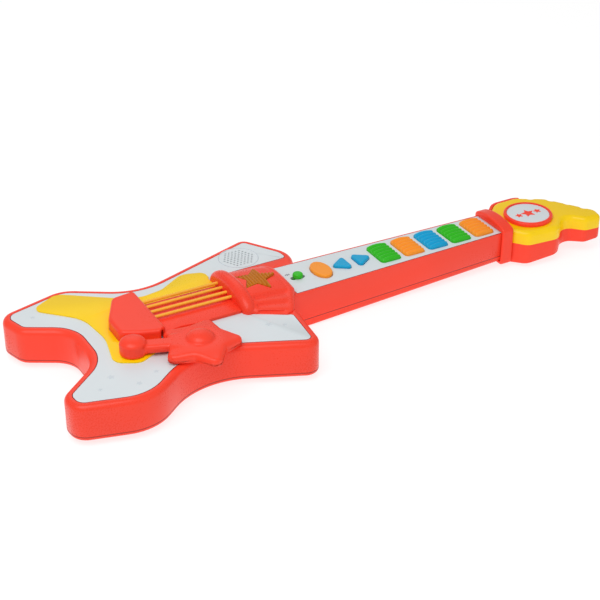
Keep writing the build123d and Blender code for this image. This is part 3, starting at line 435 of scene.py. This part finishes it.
def moulded_group():
    """Moulded plastic: clouds in the colour, rub marks, fine specks and a grain."""
    name = "moulded plastic"
    if name in bpy.data.node_groups:
        return bpy.data.node_groups[name]
    tree, given, out = node_group(name, [
        ("Color", "NodeSocketColor", (0.8, 0.8, 0.8, 1.0)),
        ("Clouds", "NodeSocketFloat", 0.05),
        ("Roughness", "NodeSocketFloat", 0.3),
        ("Rub", "NodeSocketFloat", 0.12),
        ("Grain", "NodeSocketFloat", 0.1),
    ], [("Color", "NodeSocketColor"), ("Roughness", "NodeSocketFloat"),
        ("Normal", "NodeSocketVector")])
    plain = stretched(tree, (1, 1, 1))
    cloud = noise(tree, plain, 14.0, 3.0)
    lighter = maths(tree, "ADD", 1.0, given.outputs["Clouds"])
    darker = maths(tree, "SUBTRACT", 1.0, given.outputs["Clouds"])
    value = remap(tree, cloud, 0.3, 0.7, darker, lighter)
    tint = tree.nodes.new("ShaderNodeHueSaturation")
    tree.links.new(value, tint.inputs["Value"])
    tree.links.new(given.outputs["Color"], tint.inputs["Color"])
    scuffs = noise(tree, stretched(tree, (60, 420, 60)), 1.0, 4.0, 0.65)
    scuff = remap(tree, scuffs, 0.60, 0.72, 0.0, given.outputs["Rub"])
    patches = remap(tree, noise(tree, plain, 34.0, 3.0), 0.42, 0.66, 0.0, 1.0)
    rub = maths(tree, "MULTIPLY", scuff, patches)
    pale = tree.nodes.new("ShaderNodeMix")
    pale.data_type = "RGBA"
    tree.links.new(maths(tree, "MULTIPLY", rub, 0.35), pale.inputs["Factor"])
    tree.links.new(tint.outputs["Color"], pale.inputs[6])
    pale.inputs[7].default_value = (0.95, 0.93, 0.9, 1.0)
    tree.links.new(pale.outputs[2], out.inputs["Color"])
    speck = remap(tree, noise(tree, plain, 900.0, 2.0), 0.35, 0.65, -0.03, 0.03)
    cloudy = remap(tree, cloud, 0.3, 0.7, -0.03, 0.04)
    rough = maths(tree, "ADD", given.outputs["Roughness"], speck)
    rough = maths(tree, "ADD", rough, cloudy)
    rough = maths(tree, "ADD", rough, rub)
    tree.links.new(rough, out.inputs["Roughness"])
    grain = noise(tree, plain, 1400.0, 3.0, 0.6)
    ripple = maths(tree, "MULTIPLY", noise(tree, plain, 55.0, 2.0), 3.0)
    height = maths(tree, "SUBTRACT", maths(tree, "ADD", grain, ripple), rub)
    bump = tree.nodes.new("ShaderNodeBump")
    bump.inputs["Distance"].default_value = 0.0001
    tree.links.new(given.outputs["Grain"], bump.inputs["Strength"])
    tree.links.new(height, bump.inputs["Height"])
    tree.links.new(bump.outputs["Normal"], out.inputs["Normal"])
    return tree


def seam_mask(tree):
    """1 on the thin line where the shells meet, which rises along the neck."""
    parts = tree.nodes.new("ShaderNodeSeparateXYZ")
    tree.links.new(stretched(tree, (1, 1, 1)), parts.inputs["Vector"])
    height = remap(tree, parts.outputs["X"], SEAM_START, SEAM_END, SEAM_LOW, SEAM_HIGH)
    away = maths(tree, "SUBTRACT", parts.outputs["Z"], height)
    away = maths(tree, "ABSOLUTE", away, 0.0)
    return remap(tree, away, 0.0002, 0.0005, 0.8, 0.0)


def finish(name, base, rough=0.3, clouds=0.05, rub=0.06, grain=0.012, metal=0.0,
           transmission=0.0, glow=0.0, seam=None):
    """A material of the moulded group with its own values; the last argument, when given, is the colour of the
    dark line where the shells meet.
    """
    if name in bpy.data.materials:
        return bpy.data.materials[name]
    material = bpy.data.materials.new(name)
    material.use_nodes = True
    tree = material.node_tree
    shader = tree.nodes["Principled BSDF"]
    group = tree.nodes.new("ShaderNodeGroup")
    group.node_tree = moulded_group()
    group.inputs["Color"].default_value = (*base, 1.0)
    group.inputs["Clouds"].default_value = clouds
    group.inputs["Roughness"].default_value = rough
    group.inputs["Rub"].default_value = rub
    group.inputs["Grain"].default_value = grain
    shown = group.outputs["Color"]
    if seam:
        mix = tree.nodes.new("ShaderNodeMix")
        mix.data_type = "RGBA"
        tree.links.new(seam_mask(tree), mix.inputs["Factor"])
        tree.links.new(shown, mix.inputs[6])
        mix.inputs[7].default_value = (*seam, 1.0)
        shown = mix.outputs[2]
    tree.links.new(shown, shader.inputs["Base Color"])
    tree.links.new(group.outputs["Roughness"], shader.inputs["Roughness"])
    tree.links.new(group.outputs["Normal"], shader.inputs["Normal"])
    shader.inputs["Metallic"].default_value = metal
    shader.inputs["Specular IOR Level"].default_value = 0.5 if metal else 0.3
    shader.inputs["Transmission Weight"].default_value = transmission
    shader.inputs["Emission Color"].default_value = (*base, 1.0)
    shader.inputs["Emission Strength"].default_value = glow
    material.diffuse_color = (*base, 1.0)
    return material


def paint(name):
    """The finish of one of the guitar's plastics."""
    base = tuple(getattr(bpy.context.scene.guitar_paint, name))
    looks = {
        "white": dict(rough=0.36, clouds=0.02, rub=0.06),
        "string": dict(rough=0.28, clouds=0.06),
        "lens": dict(rough=0.25, clouds=0.10, rub=0.02),
        # Colour of the shells' seam line and of the painted gap shade round the white panels
        "seam": dict(rough=0.6, rub=0.0),
    }
    return finish(f"{name} plastic", base, **looks.get(name, {}))


# ---------------------------------------------------------------- pieces
class GUITAR_OT_shells(Operator):
    """Body and neck shells with eased seams, and the battery door"""
    bl_idname = "guitar.shells"
    bl_label = "Shells"

    def execute(self, context):
        mould = context.scene.guitar_mould
        shell = finish("red shell", tuple(context.scene.guitar_paint.red),
                       seam=tuple(context.scene.guitar_paint.seam))
        for node in ("front_shell", "back_shell", "battery_door"):
            obj = eased(cad_copy(node, f"{node}_skin"), mould.shell_edge)
            placed(obj, node, paint("red") if node == "battery_door" else shell)
        return {"FINISHED"}


class GUITAR_OT_plates(Operator):
    """Face panel, pickguard, string base and fingerboard panel"""
    bl_idname = "guitar.plates"
    bl_label = "Plates"

    def execute(self, context):
        mould = context.scene.guitar_mould
        for node, name in (("pickguard", "yellow"), ("string_base", "red")):
            placed(eased(cad_copy(node, f"{node}_skin"), mould.plate_edge), node, paint(name))
        low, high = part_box("speaker_basket")
        grille = ((low + high) / 2).xy
        grille_free = 14 * MM
        low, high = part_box("key_1")
        half = (high.y - low.y) / 2 + 1.5 * MM
        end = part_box("finger_panel")[1].x - 2.5 * MM
        face = placed(cad_copy("face_panel", "face_panel_skin"), "face_panel", paint("white"))
        # Painted shade of the gaps: a dark slope along the white panels' edges, left out round the grille and the
        # keys
        gap_shaded(face, mould.gap_shade_width, lambda at: (at.xy - grille).length > grille_free)
        neck = placed(cad_copy("finger_panel", "finger_panel_skin"), "finger_panel",
                      paint("white"))
        gap_shaded(neck, mould.gap_shade_width, lambda at: abs(at.y) > half or at.x > end)
        return {"FINISHED"}


class GUITAR_OT_reliefs(Operator):
    """Faint raised stars on the face, the rim of the speaker grille and the slot's marks"""
    bl_idname = "guitar.reliefs"
    bl_label = "Reliefs"

    # Centre in metres, size in millimetres, turn in degrees
    STARS = ((-0.176, 0.047, 3.6, 20), (-0.186, 0.038, 2.0, 0), (-0.166, -0.062, 3.2, 10),
             (-0.152, -0.078, 2.6, 40), (-0.178, -0.073, 2.0, 25), (-0.136, -0.070, 2.2, 0),
             (-0.040, -0.052, 3.0, 30), (-0.030, -0.058, 2.0, 0))
    PROUD = 0.12 * MM
    RIM_R = 0.4 * MM
    MARK_WIDE = 0.6 * MM
    MARK_LONG = 2.2 * MM
    MARK_THICK = 0.2 * MM
    MARK_PITCH = 1.4 * MM

    def execute(self, context):
        pieces = []
        for x, y, size, turn in self.STARS:
            centre = Vector((x, y, 0))
            pieces.append(star_prism("relief_star", centre, size * MM, size * MM * 0.45, turn,
                                     FACE - self.PROUD, FACE + self.PROUD, 0.0003))
        low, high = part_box("speaker_basket")
        bpy.ops.object.select_all(action="DESELECT")
        bpy.ops.mesh.primitive_torus_add(
            major_radius=(high.x - low.x) / 2, minor_radius=self.RIM_R, major_segments=72,
            minor_segments=10, location=((low.x + high.x) / 2, (low.y + high.y) / 2, FACE))
        reliefs = joined("face_reliefs", fresh("grille_rim"), *pieces)
        placed_free(shade(tidy(reliefs)), "body", paint("relief"))
        low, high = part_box("power_slider")
        marks = []
        for shift in (-1, 0, 1):
            bpy.ops.object.select_all(action="DESELECT")
            bpy.ops.mesh.primitive_cube_add(
                size=1, location=(low.x - 1.2 * MM + shift * self.MARK_PITCH,
                                  high.y + 2.6 * MM, FACE),
                scale=(self.MARK_WIDE, self.MARK_LONG - self.MARK_WIDE * abs(shift),
                       self.MARK_THICK))
            marks.append(fresh("slot_mark"))
        ink = finish("mark ink", (0.10, 0.07, 0.12), rough=0.5)
        placed_free(joined("slot_marks", *marks), "body", ink)
        return {"FINISHED"}


class GUITAR_OT_bridge(Operator):
    """Bridge block, softly moulded"""
    bl_idname = "guitar.bridge"
    bl_label = "Bridge block"

    def execute(self, context):
        mould = context.scene.guitar_mould
        obj = cad_copy("bridge_block", "bridge_moulding")
        placed(soft(obj, mould.soft_voxel, mould.soft), "bridge_block", paint("red"))
        return {"FINISHED"}


class GUITAR_OT_strings(Operator):
    """The moulded strings, one modelled and the others copied"""
    bl_idname = "guitar.strings"
    bl_label = "Strings"

    def execute(self, context):
        low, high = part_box("string_1")
        radius = (high.z - low.z) / 2
        bpy.ops.object.select_all(action="DESELECT")
        bpy.ops.mesh.primitive_cylinder_add(
            vertices=32, radius=radius, depth=high.x - low.x, rotation=(0, math.pi / 2, 0),
            location=(low + high) / 2)
        first = fresh("string_rod_1")
        mesh = edit(first)
        choose(mesh, "faces", lambda f: abs(f.normal.x) > 0.9)
        bpy.ops.mesh.inset(thickness=radius * 0.35)
        leave(first)
        shade(first)
        placed(first, "string_1", paint("string"))
        for i in range(2, 5):
            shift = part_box(f"string_{i}")[0] - low
            obj = first.copy()
            obj.data = first.data.copy()
            obj.name = f"string_rod_{i}"
            obj.parent = None
            context.scene.collection.objects.link(obj)
            obj.data.transform(Matrix.Translation((0, shift.y, 0)))
            placed(obj, f"string_{i}", paint("string"))
        return {"FINISHED"}


class GUITAR_OT_neck_cover(Operator):
    """Fluted cover over the neck joint, with its ring and the ribbed star lens"""
    bl_idname = "guitar.neck_cover"
    bl_label = "Neck cover"

    CENTRE_Y = -2.5 * MM
    SUNK = 0.4 * MM              # the walls end this far below the face
    RING_LONG = 11.5 * MM
    RING_SWELL = 0.3 * MM
    FLARE_FROM = 6               # degrees from the near foot
    FLARE_TO = 62
    FAR_FROM = 110
    FAR_TO = 175
    FAR_BACK = 5 * MM            # the end lies further back at the far foot
    FAR_IN = 3 * MM
    FLUTE_FIRST = 8              # degrees
    FLUTE_STEP = 17
    FLUTE_WIDE = 4.5
    LIP = 0.8 * MM
    END_POWER = 2.4              # shape of the rounded end
    END_DROP = 0.72              # how much of its height the end loses
    END_IN = 1.5 * MM
    LENS_TURN = 1.5
    LENS_SUNK = 0.8 * MM
    LENS_GAP = 0.4 * MM

    def measure(self, cover):
        """Sizes of the cover from its CAD box."""
        low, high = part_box("joint_cover")
        self.start = low.x
        self.end = high.x
        self.half = high.y - self.CENTRE_Y - cover.ring_proud
        self.tall = high.z - FACE - cover.ring_proud

    def dome(self, cover, share, angle):
        """A point of the dome; share runs from the ring to the end, angle from the near foot."""
        degrees = math.degrees(angle)
        near = 1 - smoothstep(degrees, self.FLARE_FROM, self.FLARE_TO)
        far = smoothstep(degrees, self.FAR_FROM, self.FAR_TO)
        root = self.start + self.RING_LONG * 0.6
        end = self.end - cover.end_slant * max(0.0, 1 - degrees / 50) - self.FAR_BACK * far
        x = root + (end - root) * share
        wide = self.half + cover.flare * near * (0.25 + 0.75 * min(share * 1.15, 1.0))
        wide -= self.FAR_IN * far * share
        tall = self.tall - cover.taper * smoothstep(share, 0.1, 1.0)
        groove = 0.0
        window = smoothstep(share, 0.10, 0.20) * (1 - smoothstep(share, 0.78, 0.88))
        for i in range(cover.flutes):
            offset = (degrees - self.FLUTE_FIRST - self.FLUTE_STEP * i) / self.FLUTE_WIDE
            groove += cover.flute_depth * math.exp(-offset * offset) * window
        out = self.LIP * smoothstep(share, 0.84, 0.91) - groove
        turn = min(max(0.0, 1 - (1 - share) * (end - root) / cover.end_round), 1.0)
        drop = 1 - (1 - turn ** self.END_POWER) ** (1 / self.END_POWER)
        y = self.CENTRE_Y - (wide + out - self.END_IN * drop) * math.cos(angle)
        z = FACE + (tall + out) * math.sin(angle) * (1 - self.END_DROP * drop)
        return Vector((x, y, z))

    def ring(self, cover, share, angle):
        """A point of the raised ring; share runs along the neck, angle from the near foot."""
        r = cover.ring_round
        along = self.RING_LONG * share
        edge = min(along, self.RING_LONG - along, r)
        sink = r - math.sqrt(max(0.0, r * r - (r - edge) ** 2))
        swell = cover.ring_proud + self.RING_SWELL * math.sin(math.pi * share) - sink
        y = self.CENTRE_Y - (self.half + swell) * math.cos(angle)
        z = FACE + (self.tall + swell) * math.sin(angle)
        return Vector((self.start + along, y, z))

    def execute(self, context):
        cover = context.scene.guitar_cover
        self.measure(cover)
        low = FACE - self.SUNK
        dome = grid("neck_cover", 72, 150, lambda u, v: self.dome(cover, u, math.pi * v))
        walled(dome, low)
        ring = grid("cover_ring", 30, 96, lambda u, v: self.ring(cover, u, math.pi * v))
        walled(ring, low)
        lens_low, lens_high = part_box("star_lens")
        centre = (lens_low + lens_high) / 2
        tip = (lens_high.x - lens_low.x) * 0.595
        centre.x = lens_low.x + 0.80 * tip
        valley = tip * 0.48
        above = FACE + 30 * MM
        hole = star_prism("star_hole", centre, tip, valley, self.LENS_TURN, FACE + 2 * MM, above)
        dome = combined(dome, ring, "UNION")
        dome = combined(dome, hole, "DIFFERENCE")
        placed(shade(tidy(dome), 32), "joint_cover", paint("red"))
        pitch = cover.rib_pitch

        def ribbed(u, v):
            x = centre.x + (u - 0.5) * 2.1 * tip
            angle = math.radians(42 + 96 * v)
            rib = cover.rib_height * abs(math.sin(math.pi * x / pitch)) - self.LENS_SUNK
            return Vector((x, self.CENTRE_Y - (self.half + rib) * math.cos(angle),
                           FACE + (self.tall + rib) * math.sin(angle)))

        lens = walled(grid("ribbed_star", 170, 40, ribbed), FACE + 4 * MM)
        cutter = star_prism("star_cutter", centre, tip - self.LENS_GAP, valley - self.LENS_GAP,
                            self.LENS_TURN, FACE, above)
        lens = combined(lens, cutter, "INTERSECT")
        placed(shade(tidy(lens), 40), "star_lens", paint("lens"))
        return {"FINISHED"}


class GUITAR_OT_whammy(Operator):
    """Star, arm and knob of the whammy bar"""
    bl_idname = "guitar.whammy"
    bl_label = "Whammy bar"

    DOME = 0.8 * MM              # the dome gets this much higher
    DOME_R = 12.5 * MM
    FALL = 2.0 * MM              # the star's tips fall this much
    FALL_FROM = 13 * MM
    FALL_TO = 28 * MM
    TIP_FROM = 30 * MM
    TIP_TO = 37 * MM
    TOP_LOW = 4 * MM             # only what is higher than this above the face
    ARM = Vector((-44.3, 15.9)).normalized()   # from the pivot towards the knob
    ARM_FREE = 6 * MM            # the arm stays as it is
    ARM_END = 11 * MM

    def execute(self, context):
        mould = context.scene.guitar_mould
        obj = soft(cad_copy("whammy_bar", "whammy_moulding"), mould.soft_voxel, mould.puffy)
        swing = next(j for j in frame["joints"] if j["name"] == "whammy_swing")
        axis = Vector(swing["pos_m"][:2])
        for vert in obj.data.vertices:
            off = vert.co.xy - axis
            away = off.length
            if vert.co.z > FACE + self.TOP_LOW:
                fall = smoothstep(away, self.FALL_FROM, self.FALL_TO)
                fall *= 1 - smoothstep(away, self.TIP_FROM, self.TIP_TO)
                if off.dot(self.ARM) > 0:
                    fall *= smoothstep(abs(off.cross(self.ARM)), self.ARM_FREE, self.ARM_END)
                rise = 1 - smoothstep(away, 0.0, self.DOME_R)
                vert.co.z += self.DOME * rise - self.FALL * fall
        placed(obj, "whammy_bar", paint("red"))
        return {"FINISHED"}


class GUITAR_OT_keys(Operator):
    """Ridged note keys, one modelled and the others copied"""
    bl_idname = "guitar.keys"
    bl_label = "Keys"

    FLANGE = 1.25 * MM           # hidden edge of a key under the panel
    SUNK = 1.5 * MM              # the walls end this far below the face
    COLOURS = ("green", "orange", "blue", "green", "orange")

    def execute(self, context):
        keys = context.scene.guitar_keys
        low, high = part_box("key_1")
        middle = (low + high) / 2
        half_x = (high.x - low.x) / 2 - self.FLANGE
        half_y = (high.y - low.y) / 2 - self.FLANGE

        def top(u, v):
            a, b = 2 * u - 1, 2 * v - 1
            x = half_x * a * math.sqrt(1 - keys.corner * b ** 6 / 2)
            y = half_y * b * math.sqrt(1 - keys.corner * a ** 6 / 2)
            inside = min((1 - abs(a)) * half_x, (1 - abs(b)) * half_y, keys.edge)
            sink = keys.edge - math.sqrt(max(0.0, keys.edge ** 2 - (keys.edge - inside) ** 2))
            wave = 1 - abs(math.sin(math.pi * keys.ridges * v))
            groove = keys.ridge * wave * smoothstep(1 - abs(b), 0.0, 0.06)
            return Vector((middle.x + x, middle.y + y,
                           high.z - keys.arch * a * a - groove - sink))

        first = walled(grid("note_key_1", 36, 140, top), FACE - self.SUNK)
        shade(first, 50)
        for i, name in enumerate(self.COLOURS, 1):
            box_low, box_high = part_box(f"key_{i}")
            obj = first
            if i > 1:
                obj = cloned(first, f"note_key_{i}", (box_low + box_high) / 2 - middle)
            placed(obj, f"key_{i}", paint(name))
        return {"FINISHED"}


class GUITAR_OT_buttons(Operator):
    """Oval button, arrow buttons and power knob"""
    bl_idname = "guitar.buttons"
    bl_label = "Buttons"

    def execute(self, context):
        mould = context.scene.guitar_mould
        for node, name in (("oval_button", "orange"), ("arrow_button_1", "blue"),
                           ("arrow_button_2", "blue"), ("power_slider", "green")):
            obj = soft(cad_copy(node, f"{node}_cap"), mould.fine_voxel, mould.soft // 2)
            placed(obj, node, paint(name))
        return {"FINISHED"}


class GUITAR_OT_head(Operator):
    """Nut collar, head shells and badge"""
    bl_idname = "guitar.head"
    bl_label = "Head"

    STAR_PITCH = 9 * MM
    STAR_BIG = 6.0 * MM
    STAR_SMALL = 3.4 * MM
    STAR_INNER = 0.48
    STAR_SUNK = 0.1 * MM
    STAR_PROUD = 0.3 * MM

    def execute(self, context):
        mould = context.scene.guitar_mould
        for node, name in (("head_base", "red"), ("head_cover", "yellow"),
                           ("badge_ring", "red"), ("badge_disc", "white")):
            skin = eased(cad_copy(node, f"{node}_skin"), mould.shell_edge)
            placed(skin, node, paint(name))
        collar = soft(cad_copy("nut_collar", "collar_moulding"), mould.soft_voxel, mould.soft)
        placed(collar, "nut_collar", paint("red"))
        low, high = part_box("badge_disc")
        centre = (low + high) / 2
        stars = []
        for shift in (-1, 0, 1):
            spot = Vector((centre.x + shift * self.STAR_PITCH, centre.y, 0))
            size = self.STAR_SMALL if shift else self.STAR_BIG
            stars.append(star_prism("badge_star", spot, size, size * self.STAR_INNER, 90,
                                    high.z - self.STAR_SUNK, high.z + self.STAR_PROUD,
                                    self.STAR_PROUD))
        placed_free(shade(joined("badge_stars", *stars)), "body", paint("red"))
        return {"FINISHED"}


class GUITAR_OT_inside(Operator):
    """Finishes of the pieces inside the shells"""
    bl_idname = "guitar.inside"
    bl_label = "Inside"

    def execute(self, context):
        looks = {
            "circuit_board": dict(base=(0.02, 0.16, 0.05), rough=0.35, clouds=0.15),
            "black_part": dict(base=(0.02, 0.02, 0.02), rough=0.5),
            "clear_lamp": dict(base=(0.8, 0.8, 0.75), rough=0.1, transmission=0.8),
            "key_rubber": dict(base=(0.35, 0.35, 0.36), rough=0.7, grain=0.3),
            "steel_part": dict(base=(0.55, 0.55, 0.56), rough=0.3, metal=1.0),
            "spring_steel": dict(base=(0.6, 0.6, 0.62), rough=0.22, metal=1.0),
            "magnet_iron": dict(base=(0.12, 0.12, 0.12), rough=0.45, metal=0.8),
            "cone_paper": dict(base=(0.04, 0.04, 0.04), rough=0.85, grain=0.5),
            "cell_can": dict(base=(0.05, 0.05, 0.06), rough=0.3, metal=0.4),
        }
        for part in frame["record"]["subparts"]:
            slot = part["material_slot"]
            if slot in looks:
                node = frame["nodes"][part["node"]]
                node.data.materials.clear()
                node.data.materials.append(finish(slot.replace("_", " "), **looks[slot]))
        return {"FINISHED"}


class GUITAR_OT_stage(Operator):
    """Pale floor, soft studio light and the camera"""
    bl_idname = "guitar.stage"
    bl_label = "Stage"

    LIGHTS = (
        # name, setting of its power, size, place from the guitar's middle
        ("key light", "key", 0.9, (-0.55, -0.35, 1.1)),
        ("fill light", "fill", 1.2, (0.6, -1.0, 0.9)),
        ("rim light", "fill", 0.8, (0.2, 0.9, 0.9)),
    )
    FLOOR_SIZE = 12
    FLOOR_GAP = 0.4 * MM
    CAMERA_AT = (-0.4520, -0.8555, 0.5827)
    CAMERA_AHEAD = (0.41236, 0.75688, -0.50704)

    def execute(self, context):
        scene = context.scene
        stage = scene.guitar_stage
        bpy.ops.object.select_all(action="DESELECT")
        bpy.ops.mesh.primitive_grid_add(x_subdivisions=8, y_subdivisions=8, size=self.FLOOR_SIZE,
                                        location=(0, 0, cad_box[0].z - self.FLOOR_GAP))
        floor = fresh("floor")
        floor.data.materials.append(finish("floor paper", tuple(stage.floor), rough=0.8,
                                           clouds=0.01, rub=0.0, grain=0.05, glow=stage.glow))
        world = bpy.data.worlds.new("studio")
        scene.world = world
        world.use_nodes = True
        world.node_tree.nodes["Background"].inputs["Color"].default_value = (1, 1, 1, 1)
        world.node_tree.nodes["Background"].inputs["Strength"].default_value = stage.sky
        aim = (cad_box[0] + cad_box[1]) / 2
        for name, power, size, place in self.LIGHTS:
            bpy.ops.object.select_all(action="DESELECT")
            bpy.ops.object.light_add(type="AREA", location=aim + Vector(place))
            light = context.object
            light.name = name
            light.data.energy = getattr(stage, power)
            light.data.size = size
            light.rotation_euler = Vector(place).to_track_quat("Z", "Y").to_euler()
        bpy.ops.object.camera_add(location=self.CAMERA_AT)
        camera = context.object
        camera.name = "camera"
        camera.data.lens = stage.lens
        camera.data.sensor_width = 36.0
        ahead = Vector(self.CAMERA_AHEAD)
        camera.rotation_euler = ahead.to_track_quat("-Z", "Y").to_euler()
        scene.camera = camera
        scene.view_settings.view_transform = "Standard"
        return {"FINISHED"}


class GUITAR_PT_panel(Panel):
    """Buttons that build the guitar's pieces"""
    bl_idname = "GUITAR_PT_panel"
    bl_label = "Toy guitar"
    bl_space_type = "VIEW_3D"
    bl_region_type = "UI"
    bl_category = "Guitar"

    def draw(self, context):
        for operator in OPERATORS:
            self.layout.operator(operator.bl_idname)


SETTINGS = {
    "guitar_paint": GuitarPaint,
    "guitar_mould": GuitarMould,
    "guitar_cover": GuitarCover,
    "guitar_keys": GuitarKeys,
    "guitar_stage": GuitarStage,
}
OPERATORS = (
    GUITAR_OT_stage, GUITAR_OT_shells, GUITAR_OT_plates, GUITAR_OT_reliefs, GUITAR_OT_bridge,
    GUITAR_OT_strings, GUITAR_OT_neck_cover, GUITAR_OT_whammy, GUITAR_OT_keys,
    GUITAR_OT_buttons, GUITAR_OT_head, GUITAR_OT_inside,
)


def register():
    for cls in (*SETTINGS.values(), *OPERATORS, GUITAR_PT_panel):
        bpy.utils.register_class(cls)
    for name, cls in SETTINGS.items():
        setattr(bpy.types.Scene, name, PointerProperty(type=cls))


def unregister():
    for name in SETTINGS:
        delattr(bpy.types.Scene, name)
    for cls in (GUITAR_PT_panel, *reversed(OPERATORS), *SETTINGS.values()):
        bpy.utils.unregister_class(cls)


def main():
    """Registers the add-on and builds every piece."""
    register()
    for operator in OPERATORS:
        group, name = operator.bl_idname.split(".")
        getattr(getattr(bpy.ops, group), name)()


if __name__ == "__main__":
    main()
